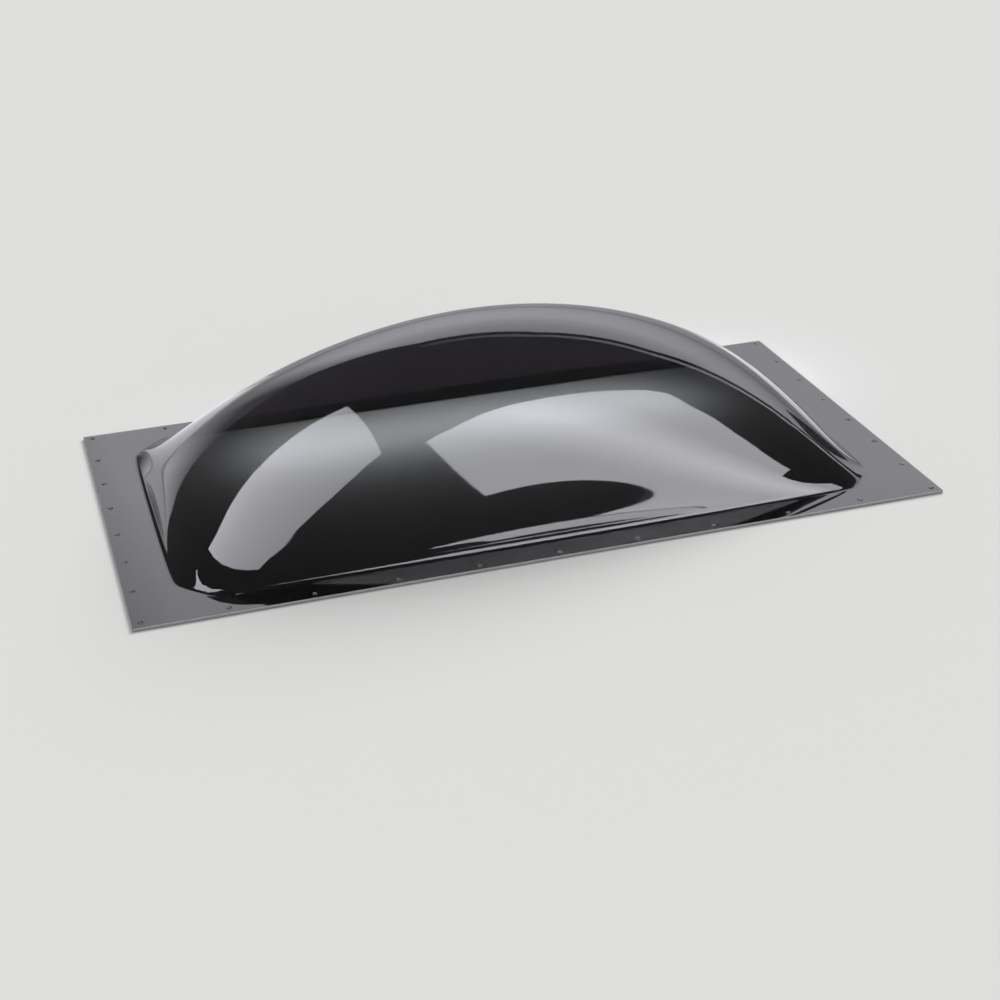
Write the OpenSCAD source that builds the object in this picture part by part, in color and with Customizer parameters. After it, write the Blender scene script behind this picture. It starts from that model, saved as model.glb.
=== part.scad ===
// Roof skylight: one sheet of smoked acrylic, blown into a long dome with a flat flange drilled for screws.
// Sizes are in millimetres. The flange's underside lies on z = 0, with the origin at its middle.

/* [Flange] */
// Length of the flange, along X
flange_length = 876; // [600:1:1200]
// Width of the flange, along Y
flange_width = 470; // [340:1:700]
// Width of the flat rim at each end, from the dome's wall to the edge
end_rim = 52; // [40:1:90]
// Width of the flat rim along each long side, from the dome's wall to the edge
side_rim = 37; // [30:1:80]
// Thickness of the sheet
sheet = 3.2; // [2:0.1:5]

/* [Dome] */
// Height of the crown above the flange's top face
dome_rise = 176; // [110:1:230]
// How far each corner of the dome's base is cut back, at 45 degrees
corner_cut = 36; // [20:1:70]
// Radius of the two bends at each cut corner, seen from above
corner_round = 12; // [6:1:20]
// Radius of the bend between the flange and the wall
base_fillet = 6; // [3:0.5:12]

/* [Blown form] */
// How the dome swells from its ends: a lower value is fuller
end_fullness = 0.75; // [0.6:0.01:1]
// How the dome swells from its long sides: a lower value is fuller
side_fullness = 0.55; // [0.5:0.01:1]
// How the dome swells from its cut corners: a lower value is fuller
corner_fullness = 0.6; // [0.5:0.01:1]

/* [Screw holes] */
// Diameter of each screw hole
hole_diameter = 4.8; // [3:0.1:6.5]
// Distance from the middle of a hole to the edge of the flange
hole_inset = 9.5; // [7:0.5:14]
// Holes along each long side, corners included
side_holes = 11; // [5:1:15]
// Holes along each end, corners included
end_holes = 8; // [4:1:11]

/* [Hidden] */
smoke = "#2c272b";
// Half sizes of the flange, and of the dome where its walls leave the flange
edge_x = flange_length / 2;
edge_y = flange_width / 2;
half_l = edge_x - end_rim;
half_w = edge_y - side_rim;
// Share of the sheet's swell that is already there at the base, so that the walls start at a slant
foot_swell = 0.02;
// How closely the pull of a cut corner stays at that corner
corner_reach = 10;
// Distance from the dome's two middle lines within which the pull of the corners evens out
middle_blend = 60;
// The turn of a bend in degrees, and how far the bend runs along each of its two sides
bend_turn = 45;
bend_run = corner_round * tan(bend_turn / 2);
// Steps along a quarter of the base, across the fillet and up the wall
end_steps = 5;
bend_steps = 2;
cut_steps = 2;
side_steps = 11;
fillet_steps = 4;
wall_steps = 18;
// Short distance over which a slope is measured, and the depth at which the wall's first slope is read
probe = 0.2;
foot_depth = 2;
// How far a drill passes through each face
drill_clear = 1;

// Swell of the sheet from one clamped edge: inside is 0 at the edge and 1 at the middle of the dome
function swell(inside, fullness) =
    (pow(max(0, inside) + foot_swell, fullness) - pow(foot_swell, fullness))
    / (pow(1 + foot_swell, fullness) - pow(foot_swell, fullness));

// How far a point lies towards a cut corner: 1 along the cut itself
function off_middle(v) = sqrt(v * v + middle_blend * middle_blend);
cut_distance = off_middle(half_l - corner_cut / 2) + off_middle(half_w - corner_cut / 2);
function cornerwise(p) = (off_middle(p.x) + off_middle(p.y)) / cut_distance;

// Height of the blown sheet over a point of the base
function rise(p) =
    dome_rise
    * swell(1 - pow(p.x / half_l, 2), end_fullness)
    * swell(1 - pow(p.y / half_w, 2), side_fullness)
    * swell(1 - pow(cornerwise(p), corner_reach), corner_fullness);

// Direction that the blown sheet faces over a point of the base
function facing(p) =
    let (slope_x = (rise(p + [probe, 0]) - rise(p - [probe, 0])) / (2 * probe))
    let (slope_y = (rise(p + [0, probe]) - rise(p - [0, probe])) / (2 * probe))
    let (n = [-slope_x, -slope_y, 1])
    n / norm(n);

// Stations along the base outline, each as [point, angle of its outward direction]
function along_line(from, to, angle, steps) =
    [for (i = [0 : steps - 1]) [from + (to - from) * i / steps, angle]];
function along_bend(centre, start, steps) =
    [for (i = [0 : steps - 1])
        let (angle = start + bend_turn * i / steps)
        [centre + corner_round * [cos(angle), sin(angle)], angle]];

// One quarter of the base: half an end, a bend, the cut corner, a bend and half a long side
end_centre = [half_l - corner_round, half_w - corner_cut - bend_run];
side_centre = [half_l - corner_cut - bend_run, half_w - corner_round];
cut_offset = corner_round * [cos(bend_turn), sin(bend_turn)];
quarter_outline = concat(
    along_line([half_l, 0], [half_l, end_centre.y], 0, end_steps),
    along_bend(end_centre, 0, bend_steps),
    along_line(end_centre + cut_offset, side_centre + cut_offset, bend_turn, cut_steps),
    along_bend(side_centre, bend_turn, bend_steps),
    along_line([side_centre.x, half_w], [0, half_w], 90, side_steps),
    [[[0, half_w], 90]]
);
quarter_steps = len(quarter_outline) - 1;
corner_step = end_steps + bend_steps + cut_steps / 2;

// The same stations with the point of the flange's edge that each one faces
quarter = [for (i = [0 : quarter_steps])
    let (p = quarter_outline[i][0])
    let (edge = [i > corner_step ? p.x : edge_x, i < corner_step ? p.y : edge_y])
    [p, quarter_outline[i][1], edge]];

// The whole outline, anticlockwise: every second quarter is mirrored and runs backwards
function flip(station, sx, sy) =
    let (out = [sx * cos(station[1]), sy * sin(station[1])])
    [[sx * station[0].x, sy * station[0].y], out, [sx * station[2].x, sy * station[2].y]];
stations = concat(
    [for (i = [0 : quarter_steps - 1]) flip(quarter[i], 1, 1)],
    [for (i = [0 : quarter_steps - 1]) flip(quarter[quarter_steps - i], -1, 1)],
    [for (i = [0 : quarter_steps - 1]) flip(quarter[i], -1, -1)],
    [for (i = [0 : quarter_steps - 1]) flip(quarter[quarter_steps - i], 1, -1)]
);
count = len(stations);

// Where the fillet meets the wall at a station: [depth inside the outline, height, slope angle]
function fillet_top(station) =
    let (p = station[0], out = station[1])
    let (first_slope = atan(rise(p - foot_depth * out) / foot_depth))
    let (depth = base_fillet * tan(first_slope / 2) * cos(first_slope))
    let (above = rise(p - (depth + probe) * out), below = rise(p - (depth - probe) * out))
    [depth, rise(p - depth * out), atan((above - below) / (2 * probe))];

// A point of the sheet's top face, as [place, direction it faces], on the fillet at a station.
// The fillet is a curve with three control points: t runs from 0 at the flange to 1 at the wall.
function fillet_point(station, top, t) =
    let (p = station[0], out = station[1])
    let (knee = top[1] / tan(top[2]) - top[0])
    let (toe = knee + top[1] / sin(top[2]))
    let (across = pow(1 - t, 2) * toe + 2 * t * (1 - t) * knee - t * t * top[0])
    let (up = t * t * top[1])
    let (run = (1 - t) * (toe - knee) + t * (knee + top[0]), climb = t * top[1])
    let (tilt = atan2(climb, run))
    let (plan = p + across * out)
    [[plan.x, plan.y, sheet + up], [sin(tilt) * out.x, sin(tilt) * out.y, cos(tilt)]];

// A point of the sheet's top face on the wall, where share is 1 at the fillet and 0 at the crown
function wall_point(station, top, share) =
    let (plan = share * (station[0] - top[0] * station[1]))
    [[plan.x, plan.y, sheet + rise(plan)], facing(plan)];

// Rings of the top face, from the flange's edge to the last one below the crown
fillet_tops = [for (s = stations) fillet_top(s)];
top_rings = concat(
    [[for (s = stations) [[s[2].x, s[2].y, sheet], [0, 0, 1]]]],
    [for (j = [0 : fillet_steps - 1])
        [for (i = [0 : count - 1]) fillet_point(stations[i], fillet_tops[i], j / fillet_steps)]],
    [for (k = [0 : wall_steps - 1])
        [for (i = [0 : count - 1]) wall_point(stations[i], fillet_tops[i], cos(90 * k / wall_steps))]]
);
rings = len(top_rings);

// The formed sheet: the top face, and the same face again one sheet thickness behind it
module formed_sheet() {
    top_face = [for (ring = top_rings) each [for (v = ring) v[0]]];
    under_face = [for (ring = top_rings) each [for (v = ring) v[0] - sheet * v[1]]];
    crowns = [[0, 0, sheet + dome_rise], [0, 0, dome_rise]];
    under = rings * count;
    top_crown = 2 * under;
    under_crown = top_crown + 1;
    last = (rings - 1) * count;
    steps = [0 : count - 1];
    polyhedron(
        points = concat(top_face, under_face, crowns),
        faces = concat(
            [for (j = [0 : rings - 2], i = steps)
                let (a = j * count, b = a + count, n = (i + 1) % count)
                [a + i, b + i, b + n, a + n]],
            [for (j = [0 : rings - 2], i = steps)
                let (a = under + j * count, b = a + count, n = (i + 1) % count)
                [a + i, a + n, b + n, b + i]],
            [for (i = steps)
                let (n = (i + 1) % count)
                [i, n, under + n, under + i]],
            [for (i = steps)
                let (n = (i + 1) % count)
                [last + i, top_crown, last + n]],
            [for (i = steps)
                let (n = (i + 1) % count)
                [under + last + i, under + last + n, under_crown]]
        )
    );
}

module drill(x, y) {
    translate([x, y, -drill_clear])
        cylinder(h = sheet + 2 * drill_clear, d = hole_diameter, $fn = 32);
}

// Screw holes all round the flange: full rows along the long sides, and the ends between them
module screw_holes() {
    row_x = edge_x - hole_inset;
    row_y = edge_y - hole_inset;
    side_pitch = 2 * row_x / (side_holes - 1);
    end_pitch = 2 * row_y / (end_holes - 1);
    for (i = [0 : side_holes - 1], side = [-1, 1])
        drill(-row_x + i * side_pitch, side * row_y);
    for (i = [1 : end_holes - 2], side = [-1, 1])
        drill(side * row_x, -row_y + i * end_pitch);
}

module skylight_dome() {
    color(smoke)
        difference() {
            formed_sheet();
            screw_holes();
        }
}

skylight_dome();
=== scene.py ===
# %% [markdown]
# # A smoked roof skylight
# The real skylight is one sheet of smoked acrylic. The sheet is heated, clamped round its edge and blown
# up with air into a long dome. What was under the clamp stays flat: it is the flange, and it is drilled
# all round for roof screws. The lesson follows the same order: a flat blank, the blowing, the thickness,
# the finish, the cut edges, and then a small studio to look at it in.

# %% Load the frame
import math
import bpy
from mathutils import Matrix, Vector


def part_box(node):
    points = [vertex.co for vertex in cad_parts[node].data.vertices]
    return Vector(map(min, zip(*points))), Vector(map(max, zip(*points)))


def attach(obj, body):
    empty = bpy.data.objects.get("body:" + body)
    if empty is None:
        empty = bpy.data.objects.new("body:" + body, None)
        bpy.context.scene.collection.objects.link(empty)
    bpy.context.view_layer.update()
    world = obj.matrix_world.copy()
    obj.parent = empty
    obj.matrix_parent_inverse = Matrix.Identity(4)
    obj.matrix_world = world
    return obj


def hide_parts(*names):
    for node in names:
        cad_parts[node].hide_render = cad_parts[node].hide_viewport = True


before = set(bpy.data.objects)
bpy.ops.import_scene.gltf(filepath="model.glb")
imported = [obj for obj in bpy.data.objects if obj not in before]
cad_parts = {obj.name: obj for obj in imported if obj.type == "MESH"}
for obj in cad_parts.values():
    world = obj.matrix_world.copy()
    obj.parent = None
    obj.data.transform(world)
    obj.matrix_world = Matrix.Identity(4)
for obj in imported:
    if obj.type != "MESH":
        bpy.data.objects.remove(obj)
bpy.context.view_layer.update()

MM = 0.001

# %% [markdown]
# ## The camera
# The flange is a rectangle of a known size, so its four corners in a photograph fix where the camera stood
# and how long its lens was. The three directions below are the camera's own right, up and backward axes.
# A camera object looks along its minus Z axis, so they are simply the columns of its rotation.

# %% Camera
camera_place = Vector((-0.5238, -1.7427, 0.8717))
camera_right = Vector((0.95339, -0.30096, -0.02189)).normalized()
camera_up = Vector((0.15408, 0.42318, 0.89285)).normalized()
camera_back = camera_right.cross(camera_up)
turn = Matrix((camera_right, camera_up, camera_back)).transposed()

camera_data = bpy.data.cameras.new("studio_camera")
camera_data.sensor_width = 36.0
camera_data.lens = 63.84
camera = bpy.data.objects.new("studio_camera", camera_data)
camera.matrix_world = Matrix.Translation(camera_place) @ turn.to_4x4()
bpy.context.scene.collection.objects.link(camera)
bpy.context.scene.camera = camera
print("camera stands", round(camera_place.length, 3), "m from the middle of the flange")

# %% [markdown]
# ## Sizes
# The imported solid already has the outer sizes, so they are read from it and not typed again. The other
# values are the ones that the real maker would know: the sheet, the rims that stay flat, the cut corners
# of the clamp, and three numbers that say how fully the sheet swells from its ends, sides and corners.

# %% Sizes of the sheet
node_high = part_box("skylight_dome")[1]
edge_x = node_high.x
edge_y = node_high.y
sheet = 3.2 * MM
dome_rise = node_high.z - sheet
end_rim = 52 * MM
side_rim = 37 * MM
half_length = edge_x - end_rim
half_width = edge_y - side_rim
corner_cut = 36 * MM
corner_round = 12 * MM
end_fullness = 0.75
side_fullness = 0.55
corner_fullness = 0.6
foot_swell = 0.02
corner_reach = 10
middle_blend = 60 * MM
print("flange", round(2 * edge_x / MM), "x", round(2 * edge_y / MM), "mm,",
      "dome", round(dome_rise / MM), "mm high")

# %% [markdown]
# ## The blank
# A dome could start from a sphere or a plane with a subdivision modifier, but its base has cut corners,
# and reflections show every bad edge of a glossy surface. So the blank is laid out on purpose: rows of
# four-sided faces run round the base, close together where the sheet will bend, and an even grid of
# faces fills the middle, so that there is no point where many edges meet.
#
# The rows follow stations: points round the base, each with the direction that it faces. One quarter is
# laid out from the middle of an end to the middle of a long side, and the others are its mirrors.

# %% One quarter of the base
end_steps = 20
bend_steps = 4
cut_steps = 6
side_steps = 42
eighth_turn = math.pi / 4
bend_run = corner_round * math.tan(eighth_turn / 2)


def line_stations(start, stop, angle, steps):
    """Points along a straight part of the base, each with the angle that it faces."""
    return [(start[0] + (stop[0] - start[0]) * i / steps,
             start[1] + (stop[1] - start[1]) * i / steps, angle)
            for i in range(steps)]


def bend_stations(centre, first_angle):
    """Points along a bend of an eighth of a turn."""
    angles = [first_angle + eighth_turn * i / bend_steps for i in range(bend_steps)]
    return [(centre[0] + corner_round * math.cos(a), centre[1] + corner_round * math.sin(a), a)
            for a in angles]


end_centre = (half_length - corner_round, half_width - corner_cut - bend_run)
side_centre = (half_length - corner_cut - bend_run, half_width - corner_round)
slant = corner_round * math.sqrt(0.5)
quarter = line_stations((half_length, 0), (half_length, end_centre[1]), 0, end_steps)
quarter += bend_stations(end_centre, 0)
quarter += line_stations((end_centre[0] + slant, end_centre[1] + slant),
                         (side_centre[0] + slant, side_centre[1] + slant), eighth_turn, cut_steps)
quarter += bend_stations(side_centre, eighth_turn)
quarter += line_stations((side_centre[0], half_width), (0, half_width), 2 * eighth_turn, side_steps)
quarter += [(0, half_width, 2 * eighth_turn)]
quarter_steps = len(quarter) - 1
print(quarter_steps, "steps along a quarter of the base")


# %% Stations all round the base
def mirrored(station, sign_x, sign_y):
    """A station of the first quarter, moved to another one: its point, and the direction that it faces."""
    x, y, angle = station
    place = Vector((sign_x * x, sign_y * y, 0))
    out = Vector((sign_x * math.cos(angle), sign_y * math.sin(angle), 0))
    return place, out


stations = [mirrored(s, 1, 1) for s in quarter[:-1]]
stations += [mirrored(s, -1, 1) for s in quarter[:0:-1]]
stations += [mirrored(s, -1, -1) for s in quarter[:-1]]
stations += [mirrored(s, 1, -1) for s in quarter[:0:-1]]
count = len(stations)
print(count, "stations round the base")

# %% [markdown]
# ### Rows and grid
# Everything is flat for now. Each point only remembers two facts for the blowing: "bend", from 0 on the
# flat flange to 1 on the wall, and "wall_point", the place of the wall that it leans on. The first rows
# cross the fillet, from its toe on the flange to the foot of the wall. The next ones climb the wall, and
# crowd together at its foot, where the sheet curves most.

# %% Rows of the blank
toe_reach = 4.6 * MM
wall_depth = 1.3 * MM
flat_lap = 1.0 * MM
fold_rows = 8
wall_rows = 16
inner_share = 0.8
crowding = 1.5

points = []
bends = []
wall_points = []


def add_row(row, bend, leans_on):
    """Adds one row of points round the base."""
    points.extend(row)
    bends.extend([bend] * len(row))
    wall_points.extend(leans_on)


wall_foot = [place - wall_depth * out for place, out in stations]
add_row([place + (toe_reach + flat_lap) * out for place, out in stations], 0, wall_foot)
for j in range(fold_rows):
    t = j / fold_rows
    inset = wall_depth * t * t - toe_reach * (1 - t) ** 2
    add_row([place - inset * out for place, out in stations], t, wall_foot)
for k in range(wall_rows + 1):
    share = 1 - (1 - inner_share) * (k / wall_rows) ** crowding
    row = [share * p for p in wall_foot]
    add_row(row, 1, row)
row_total = len(points) // count
faces = []
for j in range(row_total - 1):
    for i in range(count):
        n = (i + 1) % count
        faces.append((j * count + i, j * count + n, (j + 1) * count + n, (j + 1) * count + i))
print(row_total, "rows,", len(faces), "faces so far")

# %% Borders of the grid: the last row, parted at the middles of the four cut corners
first = (row_total - 1) * count
right_top = end_steps + bend_steps + cut_steps // 2
left_top = 2 * quarter_steps - right_top
left_bottom = 2 * quarter_steps + right_top
right_bottom = 4 * quarter_steps - right_top
along = right_bottom - left_bottom
across = left_bottom - left_top
bottom = [first + left_bottom + i for i in range(along + 1)]
top = [first + left_top - i for i in range(along + 1)]
left = [first + left_bottom - j for j in range(across + 1)]
right = [first + (right_bottom + j) % count for j in range(across + 1)]
print("grid of", along, "by", across, "faces in the middle")

# %% Grid in the middle: each point blends the four borders
grid = [bottom]
for j in range(1, across):
    v = j / across
    line = [left[j]]
    for i in range(1, along):
        u = i / along
        edges = ((1 - v) * points[bottom[i]] + v * points[top[i]]
                 + (1 - u) * points[left[j]] + u * points[right[j]])
        corners = ((1 - u) * (1 - v) * points[bottom[0]] + u * (1 - v) * points[bottom[-1]]
                   + (1 - u) * v * points[top[0]] + u * v * points[top[-1]])
        line.append(len(points))
        add_row([edges - corners], 1, [edges - corners])
    line.append(right[j])
    grid.append(line)
grid.append(top)
for j in range(across):
    for i in range(along):
        faces.append((grid[j][i], grid[j][i + 1], grid[j + 1][i + 1], grid[j + 1][i]))

blank_mesh = bpy.data.meshes.new("acrylic_blank")
blank_mesh.from_pydata(points, [], faces)
blank_mesh.attributes.new("bend", "FLOAT", "POINT").data.foreach_set("value", bends)
wall_values = [value for p in wall_points for value in p]
blank_mesh.attributes.new("wall_point", "FLOAT_VECTOR", "POINT").data.foreach_set("vector", wall_values)
blank = bpy.data.objects.new("acrylic_blank", blank_mesh)
bpy.context.scene.collection.objects.link(blank)
print("blank:", len(points), "points and", len(faces), "faces")

# %% [markdown]
# ## One helper for every node tree
# Node trees are long when they are written out, so one small function adds a node, sets its options and
# fills its inputs. An input that is given a node takes that node's first output, one that is given a
# socket takes that socket, and anything else is the input's value.


# %% Node helper and colours
def add_node(tree, kind, inputs=None, **settings):
    """Adds a node with its settings and its links or values."""
    node = tree.nodes.new(kind)
    for name, value in settings.items():
        setattr(node, name, value)
    for socket, value in (inputs or {}).items():
        if isinstance(value, bpy.types.Node):
            value = value.outputs[0]
        if isinstance(value, bpy.types.NodeSocket):
            tree.links.new(value, node.inputs[socket])
        else:
            node.inputs[socket].default_value = value
    return node


def linear(hex_colour):
    """An sRGB hex colour as the linear values that Blender's sockets take."""
    shares = [int(hex_colour[i:i + 2], 16) / 255 for i in (1, 3, 5)]
    return [c / 12.92 if c <= 0.04045 else ((c + 0.055) / 1.055) ** 2.4 for c in shares] + [1.0]


print("a mid grey of #808080 is", round(linear("#808080")[0], 3), "in linear light")

# %% [markdown]
# ## How the sheet swells
# Hot acrylic that is held along an edge swells quickly beside the clamp and then levels out. The rule for
# one edge is a power curve: a fullness of 1 gives a parabola, and one half gives the round arch of an
# ellipse. A small "foot" makes the wall leave the clamp at a slant and not straight up. The rule is used
# three times, so it becomes a node group of its own.

# %% Node group for the swell from one edge
swell_rule = bpy.data.node_groups.new("swell_from_edge", "GeometryNodeTree")
for name in ("Inside", "Fullness", "Foot"):
    swell_rule.interface.new_socket(name, in_out="INPUT", socket_type="NodeSocketFloat")
swell_rule.interface.new_socket("Swell", in_out="OUTPUT", socket_type="NodeSocketFloat")
given = add_node(swell_rule, "NodeGroupInput").outputs
inside = add_node(swell_rule, "ShaderNodeMath", {0: given["Inside"], 1: 0.0}, operation="MAXIMUM")
lifted = add_node(swell_rule, "ShaderNodeMath", {0: inside, 1: given["Foot"]}, operation="ADD")
here = add_node(swell_rule, "ShaderNodeMath", {0: lifted, 1: given["Fullness"]}, operation="POWER")
at_edge = add_node(swell_rule, "ShaderNodeMath", {
    0: given["Foot"], 1: given["Fullness"]}, operation="POWER")
whole = add_node(swell_rule, "ShaderNodeMath", {0: given["Foot"], 1: 1.0}, operation="ADD")
at_middle = add_node(swell_rule, "ShaderNodeMath", {0: whole, 1: given["Fullness"]}, operation="POWER")
gained = add_node(swell_rule, "ShaderNodeMath", {0: here, 1: at_edge}, operation="SUBTRACT")
most = add_node(swell_rule, "ShaderNodeMath", {0: at_middle, 1: at_edge}, operation="SUBTRACT")
swell = add_node(swell_rule, "ShaderNodeMath", {0: gained, 1: most}, operation="DIVIDE")
add_node(swell_rule, "NodeGroupOutput", {"Swell": swell})
print("swell group has", len(swell_rule.nodes), "nodes")

# %% [markdown]
# ## Flange, blowing and thickness in one tree
# Geometry Nodes fit this piece well, because its shape follows a rule and its holes repeat. Cutting the
# holes with a Boolean afterwards would work too, but it leaves slivers round each hole. So the tree gives
# every hole a collar, a flat ring of even faces, and lays a narrow strip along the flange's edge. Then it
# fills the field that is left between the collars, the strip and the blank. It lifts every point by the
# rule, and last it gives the sheet its thickness.

# %% Inputs of the tree
form_tree = bpy.data.node_groups.new("blown_skylight", "GeometryNodeTree")
form_tree.interface.new_socket("Blank", in_out="INPUT", socket_type="NodeSocketGeometry")
form_inputs = {
    "Flange length": 2 * edge_x, "Flange width": 2 * edge_y, "Sheet": sheet,
    "Hole radius": 2.4 * MM, "Hole inset": 9.5 * MM,
    "Side holes": 11, "End holes": 8, "Points of holes": 32,
    "Collar radius": 5 * MM, "Rim strip": 3 * MM,
    "Half length": half_length, "Half width": half_width, "Rise": dome_rise,
    "End fullness": end_fullness, "Side fullness": side_fullness, "Corner fullness": corner_fullness,
    "Foot": foot_swell, "Corner reach": corner_reach, "Corner cut": corner_cut, "Middle blend": middle_blend,
}
socket_ids = {}
for name, value in form_inputs.items():
    kind = "NodeSocketInt" if name.endswith("holes") else "NodeSocketFloat"
    socket_ids[name] = form_tree.interface.new_socket(name, in_out="INPUT", socket_type=kind).identifier
for name in ("Finish", "Cut edge"):
    new_socket = form_tree.interface.new_socket(name, in_out="INPUT", socket_type="NodeSocketMaterial")
    socket_ids[name] = new_socket.identifier
form_tree.interface.new_socket("Sheet", in_out="OUTPUT", socket_type="NodeSocketGeometry")
given = add_node(form_tree, "NodeGroupInput").outputs
print(len(form_inputs), "named sizes go into the tree")

# %% Places of the screw holes
inset_twice = add_node(form_tree, "ShaderNodeMath", {0: given["Hole inset"], 1: 2.0}, operation="MULTIPLY")
row_length = add_node(form_tree, "ShaderNodeMath", {
    0: given["Flange length"], 1: inset_twice}, operation="SUBTRACT")
row_width = add_node(form_tree, "ShaderNodeMath", {
    0: given["Flange width"], 1: inset_twice}, operation="SUBTRACT")
side_rows = add_node(form_tree, "GeometryNodeMeshGrid", {
    "Size X": row_length, "Size Y": row_width, "Vertices X": given["Side holes"], "Vertices Y": 2})
end_gaps = add_node(form_tree, "ShaderNodeMath", {0: given["End holes"], 1: 1.0}, operation="SUBTRACT")
end_pitch = add_node(form_tree, "ShaderNodeMath", {0: row_width, 1: end_gaps}, operation="DIVIDE")
corner_gaps = add_node(form_tree, "ShaderNodeMath", {0: end_pitch, 1: 2.0}, operation="MULTIPLY")
end_run = add_node(form_tree, "ShaderNodeMath", {0: row_width, 1: corner_gaps}, operation="SUBTRACT")
end_count = add_node(form_tree, "ShaderNodeMath", {0: given["End holes"], 1: 2.0}, operation="SUBTRACT")
end_rows = add_node(form_tree, "GeometryNodeMeshGrid", {
    "Size X": row_length, "Size Y": end_run, "Vertices X": 2, "Vertices Y": end_count})
hole_places = add_node(form_tree, "GeometryNodeJoinGeometry", {0: side_rows})
form_tree.links.new(end_rows.outputs[0], hole_places.inputs[0])
print("hole places added:", len(form_tree.nodes), "nodes in the tree")

# %% Collars of the screw holes
collar = add_node(form_tree, "GeometryNodeMeshCone", {
    "Vertices": given["Points of holes"], "Radius Top": given["Hole radius"],
    "Radius Bottom": given["Collar radius"], "Depth": 0.0}, fill_type="NONE")
collar_copies = add_node(form_tree, "GeometryNodeInstanceOnPoints", {
    "Points": hole_places, "Instance": collar})
collars = add_node(form_tree, "GeometryNodeRealizeInstances", {0: collar_copies})
collar_line = add_node(form_tree, "GeometryNodeCurvePrimitiveCircle", {
    "Resolution": given["Points of holes"], "Radius": given["Collar radius"]})
line_copies = add_node(form_tree, "GeometryNodeInstanceOnPoints", {
    "Points": hole_places, "Instance": collar_line})
collar_lines = add_node(form_tree, "GeometryNodeRealizeInstances", {0: line_copies})
print("collars added:", len(form_tree.nodes), "nodes in the tree")

# %% Flat flange between the holes
weld = 0.01 * MM
side_faces = add_node(form_tree, "GeometryNodeInputMeshEdgeNeighbors")
open_edge = add_node(form_tree, "FunctionNodeCompare", {
    2: side_faces, 3: 1}, data_type="INT", operation="EQUAL")
toe_line = add_node(form_tree, "GeometryNodeMeshToCurve", {"Mesh": given["Blank"], "Selection": open_edge})
strip_twice = add_node(form_tree, "ShaderNodeMath", {0: given["Rim strip"], 1: 2.0}, operation="MULTIPLY")
field_length = add_node(form_tree, "ShaderNodeMath", {
    0: given["Flange length"], 1: strip_twice}, operation="SUBTRACT")
field_width = add_node(form_tree, "ShaderNodeMath", {
    0: given["Flange width"], 1: strip_twice}, operation="SUBTRACT")
field_edge = add_node(form_tree, "GeometryNodeCurvePrimitiveQuadrilateral", {
    "Width": field_length, "Height": field_width})
flange_edge = add_node(form_tree, "GeometryNodeCurvePrimitiveQuadrilateral", {
    "Width": given["Flange length"], "Height": given["Flange width"]})
field_lines = add_node(form_tree, "GeometryNodeJoinGeometry", {0: toe_line})
rim_lines = add_node(form_tree, "GeometryNodeJoinGeometry", {0: flange_edge})
for lines, more in ((field_lines, field_edge), (field_lines, collar_lines), (rim_lines, field_edge)):
    form_tree.links.new(more.outputs[0], lines.inputs[0])
field = add_node(form_tree, "GeometryNodeFillCurve", {0: field_lines})
rim = add_node(form_tree, "GeometryNodeFillCurve", {0: rim_lines})
flat_parts = add_node(form_tree, "GeometryNodeJoinGeometry", {0: given["Blank"]})
for part in (field, rim, collars):
    form_tree.links.new(part.outputs[0], flat_parts.inputs[0])
flat_sheet = add_node(form_tree, "GeometryNodeMergeByDistance", {"Geometry": flat_parts, "Distance": weld})
print("flange nodes added:", len(form_tree.nodes), "nodes in the tree")

# %% Blowing: the swell from the ends and the long sides
leans_on = add_node(form_tree, "GeometryNodeInputNamedAttribute", {
    "Name": "wall_point"}, data_type="FLOAT_VECTOR")
plan = add_node(form_tree, "ShaderNodeSeparateXYZ", {0: leans_on}).outputs
swells = []
for axis, half, fullness in (("X", "Half length", "End fullness"), ("Y", "Half width", "Side fullness")):
    out_share = add_node(form_tree, "ShaderNodeMath", {0: plan[axis], 1: given[half]}, operation="DIVIDE")
    squared = add_node(form_tree, "ShaderNodeMath", {0: out_share, 1: out_share}, operation="MULTIPLY")
    inside = add_node(form_tree, "ShaderNodeMath", {0: 1.0, 1: squared}, operation="SUBTRACT")
    swells.append(add_node(form_tree, "GeometryNodeGroup", node_tree=swell_rule))
    for socket, value in (("Inside", inside.outputs[0]), ("Fullness", given[fullness]),
                          ("Foot", given["Foot"])):
        form_tree.links.new(value, swells[-1].inputs[socket])
print("edge swells added:", len(form_tree.nodes), "nodes in the tree")

# %% Blowing: the pull of the cut corners
half_cut = add_node(form_tree, "ShaderNodeMath", {0: given["Corner cut"], 1: 0.5}, operation="MULTIPLY")
cut_x = add_node(form_tree, "ShaderNodeMath", {0: given["Half length"], 1: half_cut}, operation="SUBTRACT")
cut_y = add_node(form_tree, "ShaderNodeMath", {0: given["Half width"], 1: half_cut}, operation="SUBTRACT")
off_middle = []
for reach in (plan["X"], plan["Y"], cut_x, cut_y):
    legs = add_node(form_tree, "ShaderNodeCombineXYZ", {0: reach, 1: given["Middle blend"]})
    length = add_node(form_tree, "ShaderNodeVectorMath", {0: legs}, operation="LENGTH")
    off_middle.append(length.outputs["Value"])
cornerwise = add_node(form_tree, "ShaderNodeMath", {0: off_middle[0], 1: off_middle[1]}, operation="ADD")
cut_distance = add_node(form_tree, "ShaderNodeMath", {0: off_middle[2], 1: off_middle[3]}, operation="ADD")
corner_share = add_node(form_tree, "ShaderNodeMath", {0: cornerwise, 1: cut_distance}, operation="DIVIDE")
corner_pull = add_node(form_tree, "ShaderNodeMath", {
    0: corner_share, 1: given["Corner reach"]}, operation="POWER")
inside = add_node(form_tree, "ShaderNodeMath", {0: 1.0, 1: corner_pull}, operation="SUBTRACT")
swells.append(add_node(form_tree, "GeometryNodeGroup", node_tree=swell_rule))
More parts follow.
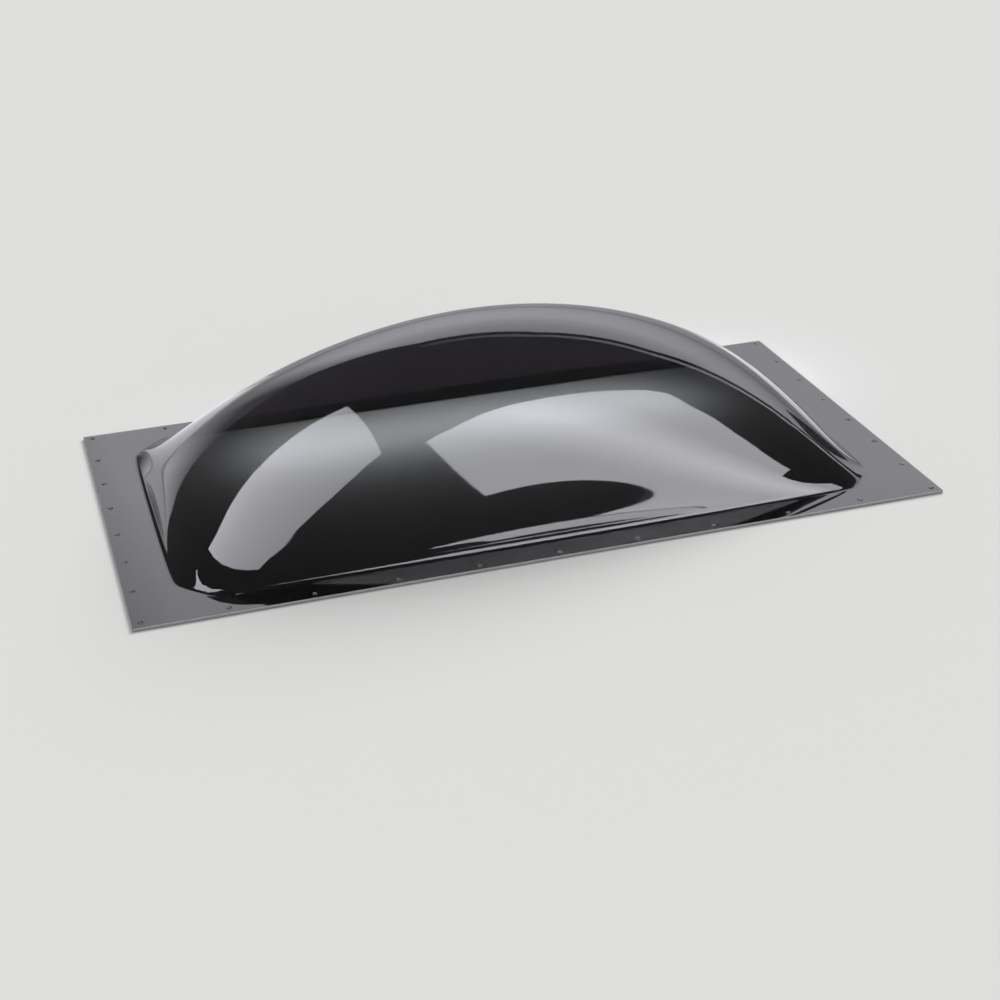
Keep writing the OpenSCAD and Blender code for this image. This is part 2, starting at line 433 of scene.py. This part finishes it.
for socket, value in (("Inside", inside.outputs[0]), ("Fullness", given["Corner fullness"]),
                      ("Foot", given["Foot"])):
    form_tree.links.new(value, swells[-1].inputs[socket])
print("corner swell added:", len(form_tree.nodes), "nodes in the tree")

# %% Blowing: the height of every point
bend = add_node(form_tree, "GeometryNodeInputNamedAttribute", {"Name": "bend"}, data_type="FLOAT")
height = add_node(form_tree, "ShaderNodeMath", {0: bend, 1: bend}, operation="MULTIPLY")
for factor in (*swells, given["Rise"]):
    height = add_node(form_tree, "ShaderNodeMath", {0: height, 1: factor}, operation="MULTIPLY")
top_height = add_node(form_tree, "ShaderNodeMath", {0: height, 1: given["Sheet"]}, operation="ADD")
lift = add_node(form_tree, "ShaderNodeCombineXYZ", {"Z": top_height})
top_face = add_node(form_tree, "GeometryNodeSetPosition", {"Geometry": flat_sheet, "Offset": lift})
print("blowing nodes added:", len(form_tree.nodes), "nodes in the tree")

# %% Thickness: the same face again, one sheet further in
depth = add_node(form_tree, "ShaderNodeMath", {0: given["Sheet"], 1: -1.0}, operation="MULTIPLY")
pushed = add_node(form_tree, "GeometryNodeExtrudeMesh", {
    "Mesh": top_face, "Offset Scale": depth, "Individual": False}, mode="FACES")
underside = add_node(form_tree, "GeometryNodeFlipFaces", {"Mesh": pushed})
both_faces = add_node(form_tree, "GeometryNodeJoinGeometry", {0: top_face})
form_tree.links.new(underside.outputs[0], both_faces.inputs[0])
closed = add_node(form_tree, "GeometryNodeMergeByDistance", {"Geometry": both_faces, "Distance": weld})
cut_faces = pushed.outputs["Side"]
plain = add_node(form_tree, "GeometryNodeRealizeInstances", {0: closed})
dyed = add_node(form_tree, "GeometryNodeSetMaterial", {"Geometry": plain, "Material": given["Finish"]})
finished = add_node(form_tree, "GeometryNodeSetMaterial", {
    "Geometry": dyed, "Selection": cut_faces, "Material": given["Cut edge"]})
add_node(form_tree, "NodeGroupOutput", {0: finished})
print("tree is whole:", len(form_tree.nodes), "nodes")

# %% [markdown]
# ## The finish: smoked acrylic
# Cast acrylic, also called PMMA, is as clear as glass and bends light a little less: its index of
# refraction is 1.49. Smoke is a grey dye through the whole sheet, so one sheet passes about an eighth of
# the light, and two pass almost none. Where the dome was blown the sheet is stretched thinner, so it passes
# a little more towards the crown. The faces are as smooth as the glass they were cast between, apart from
# a slow ripple that blowing leaves and a faint haze from handling.

# %% Smoked acrylic
acrylic_ior = 1.49
ripple_size = 90 * MM
ripple_depth = 0.02 * MM
haze_size = 14 * MM
smoked_acrylic = bpy.data.materials.new("smoked_cast_acrylic")
smoked_acrylic.use_nodes = True
tree = smoked_acrylic.node_tree
tree.nodes.clear()
place = add_node(tree, "ShaderNodeTexCoord").outputs["Object"]
axes = add_node(tree, "ShaderNodeSeparateXYZ", {0: place}).outputs
stretch = add_node(tree, "ShaderNodeMapRange", {
    "Value": axes["Z"], "From Min": sheet, "From Max": dome_rise, "To Min": 0.0, "To Max": 1.0})
tint = add_node(tree, "ShaderNodeMix", {
    "Factor": stretch, 6: linear("#646164"), 7: linear("#6a676a")}, data_type="RGBA")

ripple = add_node(tree, "ShaderNodeTexNoise", {"Vector": place, "Scale": 1 / ripple_size, "Detail": 1.0})
ripple_bump = add_node(tree, "ShaderNodeBump", {
    "Height": ripple, "Strength": 1.0, "Distance": ripple_depth})
haze = add_node(tree, "ShaderNodeTexNoise", {"Vector": place, "Scale": 1 / haze_size, "Detail": 4.0})
polish = add_node(tree, "ShaderNodeMapRange", {
    "Value": haze, "From Min": 0.3, "From Max": 0.75, "To Min": 0.02, "To Max": 0.05})
surface = add_node(tree, "ShaderNodeBsdfPrincipled", {
    "Base Color": tint.outputs[2], "Roughness": polish, "Normal": ripple_bump,
    "IOR": acrylic_ior, "Transmission Weight": 1.0})
add_node(tree, "ShaderNodeOutputMaterial", {"Surface": surface})
print("smoked acrylic has", len(tree.nodes), "nodes")

# %% [markdown]
# ### The cut edges: sawn acrylic
# The saw and the drill leave fine marks, so the cut edges scatter light and look paler and matt. They could
# be the same clear material with a rough surface, but light would then have to find its way through the
# sheet many times. A plain matt grey gives the eye the same thin line.

# %% Sawn acrylic
# Real saw marks are finer. These are as coarse as they need to be to show.
saw_mark_size = 1.5 * MM
sawn_acrylic = bpy.data.materials.new("sawn_cast_acrylic")
sawn_acrylic.use_nodes = True
tree = sawn_acrylic.node_tree
tree.nodes.clear()
place = add_node(tree, "ShaderNodeTexCoord").outputs["Object"]
saw_marks = add_node(tree, "ShaderNodeTexNoise", {"Vector": place, "Scale": 1 / saw_mark_size, "Detail": 2.0})
saw_colour = add_node(tree, "ShaderNodeMix", {
    "Factor": saw_marks, 6: linear("#979698"), 7: linear("#adacae")}, data_type="RGBA")
surface = add_node(tree, "ShaderNodeBsdfPrincipled", {
    "Base Color": saw_colour.outputs[2], "Roughness": 0.55, "IOR": acrylic_ior})
add_node(tree, "ShaderNodeOutputMaterial", {"Surface": surface})
print("sawn acrylic has", len(tree.nodes), "nodes")

# %% [markdown]
# ## From tree to plain mesh
# The tree sits on the blank as a modifier. Its inputs are set by each socket's identifier before anything
# looks at the result. A Bevel modifier then breaks the sawn and drilled edges by half a millimetre, as a
# scraper does, so that they catch a thread of light. The result is copied into a plain mesh, because the
# library takes finished meshes and not live trees.

# %% Form the sheet
broken_edge = 0.5 * MM
former = blank.modifiers.new("blown_skylight", "NODES")
former.node_group = form_tree
for name, value in form_inputs.items():
    former[socket_ids[name]] = value
former[socket_ids["Finish"]] = smoked_acrylic
former[socket_ids["Cut edge"]] = sawn_acrylic
scraper = blank.modifiers.new("broken_edges", "BEVEL")
scraper.limit_method = "ANGLE"
scraper.angle_limit = math.radians(60)
scraper.width = broken_edge
scraper.segments = 1

formed = blank.evaluated_get(bpy.context.evaluated_depsgraph_get())
skylight_mesh = bpy.data.meshes.new_from_object(formed)
skylight_mesh.name = "skylight_sheet"
blank.modifiers.clear()
bpy.data.objects.remove(blank)
print("formed mesh:", len(skylight_mesh.vertices), "points and", len(skylight_mesh.polygons), "faces")

# %% Finish the mesh and name it to the frame
for name in ("bend", "wall_point"):
    skylight_mesh.attributes.remove(skylight_mesh.attributes[name])
# The blank had no material of its own, so the first slot is empty
skylight_mesh.materials.pop(index=0)
skylight_mesh.shade_smooth()
skylight_mesh.set_sharp_from_angle(angle=math.radians(30))
skylight = bpy.data.objects.new("skylight_sheet", skylight_mesh)
bpy.context.scene.collection.objects.link(skylight)
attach(skylight, "root")
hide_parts("skylight_dome")
print("skylight sheet has the materials", [material.name for material in skylight_mesh.materials])

# %% [markdown]
# ## The studio
# A pale floor carries the shadow, an even sky gives soft light from all round, and a sun with a wide disc
# gives the shadow a direction. The sky that the eye meets, straight on, in a mirror or through the sheet,
# is a little stronger than the sky that lights the scene, so that it meets the far floor without a line.


# %% Floor
def stage_mesh(name, corners, polygons, material):
    """A plain mesh of the studio."""
    mesh = bpy.data.meshes.new(name)
    mesh.from_pydata(corners, [], polygons)
    mesh.materials.append(material)
    thing = bpy.data.objects.new(name, mesh)
    bpy.context.scene.collection.objects.link(thing)
    return thing


floor_paint = bpy.data.materials.new("floor_paint")
floor_paint.use_nodes = True
floor_shader = floor_paint.node_tree.nodes["Principled BSDF"]
floor_shader.inputs["Base Color"].default_value = linear("#dededd")
floor_shader.inputs["Roughness"].default_value = 0.9
floor_shader.inputs["Specular IOR Level"].default_value = 0.0
floor_reach = 20
floor_drop = -0.3 * MM
floor_signs = ((-1, -1), (1, -1), (1, 1), (-1, 1))
floor_corners = [(floor_reach * x, floor_reach * y, floor_drop) for x, y in floor_signs]
stage_mesh("studio_floor", floor_corners, [(0, 1, 2, 3)], floor_paint)
print("floor reaches", floor_reach, "m each way")

# %% Sky and key light
lighting_sky = 0.6
seen_sky = 0.73
world = bpy.data.worlds.new("soft_sky")
bpy.context.scene.world = world
world.use_nodes = True
sky_tree = world.node_tree
rays = add_node(sky_tree, "ShaderNodeLightPath").outputs
seen = rays["Is Camera Ray"]
for kind in ("Is Glossy Ray", "Is Transmission Ray"):
    seen = add_node(sky_tree, "ShaderNodeMath", {0: seen, 1: rays[kind]}, operation="MAXIMUM").outputs[0]
sky_strength = add_node(sky_tree, "ShaderNodeMapRange", {
    "Value": seen, "To Min": lighting_sky, "To Max": seen_sky})
sky = sky_tree.nodes["Background"]
sky.inputs["Color"].default_value = linear("#ffffff")
sky_tree.links.new(sky_strength.outputs[0], sky.inputs["Strength"])

key_direction = Vector((-0.6, -0.6, -0.5))
key_data = bpy.data.lights.new("key_light", "SUN")
key_data.energy = 2.5
key_data.angle = math.radians(30)
key = bpy.data.objects.new("key_light", key_data)
key.rotation_euler = key_direction.to_track_quat("-Z", "Y").to_euler()
key.visible_glossy = False
key.visible_transmission = False
bpy.context.scene.collection.objects.link(key)
print("sky and key light are in place")

# %% [markdown]
# ## What the dome mirrors
# A dark glossy thing is seen almost only by what it mirrors, so a photographer lights its surroundings more
# than the thing itself. Bright cloth goes where a highlight belongs, and black cloth where the dome has to
# stay dark. Each cloth here only shines. Its strength may grow or fade along a direction, as on a real
# softbox, which is brightest in front of its lamp. The camera doesn't see the cloths, they throw no shadow,
# and the renderer doesn't treat them as lamps: they show in reflections alone.

# %% Cloth that shines
UP = (0.0, 0.0, 1.0)
SIDE = (1.0, 0.0, 0.0)


def even(strength):
    """Grades for a cloth of one strength all over."""
    return [(UP, 0.0, 1.0, strength, strength)]


def glow(name, *layers):
    """A material that only shines. The grades of a layer are multiplied, and the layers are added up.

    A grade is a direction, two places along it in metres, and the strength at each place."""
    material = bpy.data.materials.new(name)
    material.cycles.emission_sampling = "NONE"
    material.use_nodes = True
    shades = material.node_tree
    shades.nodes.clear()
    place = add_node(shades, "ShaderNodeTexCoord").outputs["Object"]
    total = 0.0
    for grades in layers:
        layer = 1.0
        for direction, first_place, last_place, first_strength, last_strength in grades:
            distance = add_node(shades, "ShaderNodeVectorMath", {
                0: place, 1: direction}, operation="DOT_PRODUCT")
            grade = add_node(shades, "ShaderNodeMapRange", {
                "Value": distance.outputs["Value"], "From Min": first_place, "From Max": last_place,
                "To Min": first_strength, "To Max": last_strength})
            layer = add_node(shades, "ShaderNodeMath", {0: layer, 1: grade}, operation="MULTIPLY")
        total = add_node(shades, "ShaderNodeMath", {0: total, 1: layer}, operation="ADD")
    light = add_node(shades, "ShaderNodeEmission", {"Color": linear("#f8f8ff"), "Strength": total})
    add_node(shades, "ShaderNodeOutputMaterial", {"Surface": light})
    return material


black_cloth = glow("black_cloth", even(0.02))
print("black cloth has", len(black_cloth.node_tree.nodes), "nodes")

# %% Ways to hang a cloth
board_distance = 3.0


def hang(name, corners, material, polygons=None):
    """A cloth that shows in mirrors, and neither blocks the view nor adds light to the floor."""
    cloth = stage_mesh(name, corners, polygons or [tuple(range(len(corners)))], material)
    cloth.visible_camera = False
    cloth.visible_diffuse = False
    cloth.visible_transmission = False
    cloth.visible_volume_scatter = False
    cloth.visible_shadow = False


def rightward(compass):
    """The level direction to the right of someone who looks to a compass angle: 0 is +Y and 90 is +X."""
    return Vector((math.cos(math.radians(compass)), -math.sin(math.radians(compass)), 0))


def board(name, compass, height, outline, material):
    """A flat board that faces the dome, at a compass angle and an angle above the floor.

    Its outline runs in metres to the right and up from its middle."""
    a, e = math.radians(compass), math.radians(height)
    away = Vector((math.sin(a) * math.cos(e), math.cos(a) * math.cos(e), math.sin(e)))
    right_way = rightward(compass)
    up_way = right_way.cross(away)
    middle = board_distance * away
    hang(name, [middle + x * right_way + y * up_way for x, y in outline], material)


def bow(start, pull, stop):
    """A curved stretch of an outline, drawn towards a point that it doesn't touch."""
    steps = 8
    curve = []
    for i in range(steps + 1):
        t = i / steps
        curve.append(tuple((1 - t) ** 2 * a + 2 * t * (1 - t) * b + t * t * c
                           for a, b, c in zip(start, pull, stop)))
    return curve


print("a board hangs", board_distance, "m from the dome")

# %% [markdown]
# ### Tent, back board and softboxes
# A black tent keeps the sky out of the reflections. The board behind the dome draws the pale band along its
# top: it fades out towards the left, and a wing low at its left end lights the wall there. A thin strip
# beside it draws the fine line under the band. The two softboxes draw the large patches on the front.

# %% Black tent
tent_reach = 6.0
tent_steps = 24
tent_angles = [2 * math.pi * i / tent_steps for i in range(tent_steps)]
tent_ring = [(tent_reach * math.cos(a), tent_reach * math.sin(a)) for a in tent_angles]
tent_corners = [(x, y, z) for z in (0.0, tent_reach) for x, y in tent_ring]
tent_faces = [tuple(range(tent_steps, 2 * tent_steps))]
for i in range(tent_steps):
    n = (i + 1) % tent_steps
    tent_faces.append((i, n, tent_steps + n, tent_steps + i))
hang("black_tent", tent_corners, black_cloth, tent_faces)
print("tent is", 2 * tent_reach, "m across")

# %% Board behind the dome, and its edge strip
back_compass = 17
back_height = 22
back_fade = (-4.0, 0.0, 1.0)
back_glow = glow(
    "back_board",
    [(UP, 0.2, 1.35, 0.45, 2.0), (back_fade, 2.2, 4.6, 1.0, 0.05)],
    [(SIDE, -1.8, -0.6, 1.5, 0.0), (UP, 0.0, 0.8, 1.0, 0.1)])
board("back_board", back_compass, back_height, [
    (-3.95, -1.2), (2.3, -1.2), (2.3, -0.6), (2.85, -0.15), (1.7, 1.1), (0.6, 1.4), (-0.6, 1.15),
    (-1.6, 0.2), (-2.5, -0.2), (-3.75, -0.85)], back_glow)
strip_glow = glow("edge_strip", [(SIDE, 0.1, 3.8, 0.3, 2.0)])
board("edge_strip", back_compass, back_height, [
    (-0.6, 1.36), (0.6, 1.6), (1.8, 1.28), (3.1, -0.1), (3.25, 0.0), (1.9, 1.42), (0.6, 1.75),
    (-0.6, 1.5)], strip_glow)
print("back board and edge strip are in place")

# %% Softboxes
left_compass = -78
left_height = 62
left_glow = glow("left_softbox", [(UP, 2.0, 3.3, 8.3, 5.3)])
left_outline = bow((0.93, 0.35), (1.14, -0.25), (1.1, -0.8))
left_outline += bow((1.1, -0.8), (1.1, -1.36), (0.75, -1.2))
left_outline += [(0.0, -0.72), (-1.1, 0.04), (-2.45, 0.98)]
left_outline += bow((-2.02, 0.82), (-1.78, 1.12), (-1.31, 1.37))
board("left_softbox", left_compass, left_height, left_outline, left_glow)

right_compass = 140
right_height = 45
lamp_side = rightward(right_compass)
right_glow = glow("right_softbox", [
    (UP, 0.0, 3.0, 11.0, 8.0), (lamp_side, -0.5, 0.2, 0.82, 1.22), (lamp_side, 0.2, 0.8, 1.0, 0.67)])
right_outline = bow((0.97, 1.36), (0.5, 1.44), (-0.1, 1.14))
right_outline += bow((-0.1, 1.14), (-0.7, 0.92), (-1.3, 0.88))
right_outline += bow((-1.56, 0.78), (-1.28, -0.25), (-0.7, -0.54))
right_outline += [(-0.1, -1.15), (0.6, -1.85), (1.1, -2.98), (1.72, -2.98)]
right_outline += bow((1.48, -2.68), (1.0, -2.0), (1.0, -1.5))
right_outline += bow((1.0, -1.5), (1.05, -1.05), (1.53, -1.06))
board("right_softbox", right_compass, right_height, right_outline, right_glow)
print("softboxes are in place")

# %% [markdown]
# ### Cards on the floor, and skirts
# The foot of the dome mirrors the floor close to it. Black cloth in front keeps the foot dark, and a narrow
# card on it draws one light line there. Pale cards at both ends draw the rims, and a greyer one behind
# keeps the edge of the dome apart from the floor. Last come two skirts: narrow curved strips of black cloth,
# a few millimetres off the dome's front corners, which trim the lower ends of the two patches.

# %% Cards on the floor
cloth_rise = -0.15 * MM
card_rise = 2 * MM


def floor_card(name, height, outline, material):
    """A card that lies level. Its outline runs in metres along X and Y."""
    hang(name, [(x, y, height) for x, y in outline], material)


floor_card("black_front_cloth", cloth_rise, [
    (-4.0, -5.0), (4.0, -5.0), (4.0, 0.2), (-4.0, 0.2)], black_cloth)
floor_card("front_card", card_rise, [
    (-0.03, -0.33), (0.3, -0.33), (1.1, -2.7), (0.25, -2.0), (0.0, -0.75)], glow("front_card", even(7.5)))
end_glow = glow("end_card", even(1.2))
floor_card("right_card", card_rise, [
    (0.45, -0.1), (1.0, -0.1), (1.0, 0.45), (0.45, 0.45)], end_glow)
floor_card("left_card", card_rise, [
    (-0.44, 0.0), (-0.44, 0.24), (-0.25, 0.24), (-0.25, 1.2), (-0.6, 1.9), (-1.5, 1.9),
    (-1.5, 0.0)], end_glow)
floor_card("back_card", card_rise, [
    (-0.2, 0.3), (0.44, 0.3), (0.44, 0.46), (2.6, 0.46), (2.6, 2.5), (-0.55, 2.5), (-0.55, 1.95),
    (-0.2, 1.25)], glow("back_card", even(0.45)))
print("floor cards are in place")


# %% Skirts at the front corners
def skirt(name, upper, lower):
    """A narrow black cloth between two curves, which are given in millimetres."""
    row = len(upper)
    strips = [(i, i + 1, row + i + 1, row + i) for i in range(row - 1)]
    hang(name, [MM * Vector(point) for point in upper + lower], black_cloth, strips)


left_start = (-356, -112, 38)
left_end = (-255, -197, 24)
left_upper = bow(left_start, (-360, -198, 25), left_end)
left_lower = bow(left_start, (-400, -220, -20), left_end)
skirt("left_skirt", left_upper, left_lower)
right_start = (272, -190, 30)
right_end = (362, -184, 9)
right_upper = bow(right_start, (312, -162, 46), right_end)
right_lower = bow(right_start, (300, -200, 14), right_end)
skirt("right_skirt", right_upper, right_lower)
print("skirts are in place")

# %% [markdown]
# ### Light in the hollow
# Daylight comes through the far wall and falls on the floor under the dome, which then shows through the
# front as a soft grey zone. Each pass through the smoke takes away most of the light, so the renderer finds
# little of it. A long low lamp under the far wall stands for it. It shines down, and it is hidden itself.

# %% Lamp under the dome
lamp_data = bpy.data.lights.new("hollow_lamp", "AREA")
lamp_data.shape = "RECTANGLE"
lamp_data.size = 620 * MM
lamp_data.size_y = 90 * MM
lamp_data.energy = 1.0
lamp_data.color = linear("#f2fffd")[:3]
lamp = bpy.data.objects.new("hollow_lamp", lamp_data)
lamp.location = (50 * MM, 130 * MM, 70 * MM)
lamp.visible_camera = False
lamp.visible_glossy = False
lamp.visible_transmission = False
bpy.context.scene.collection.objects.link(lamp)
print("lamp under the dome:", lamp_data.energy, "W")

# %% [markdown]
# ## Finish
# Colours are shown as they are written, with the plain Standard view.

# %% Close the scene
bpy.context.scene.view_settings.view_transform = "Standard"
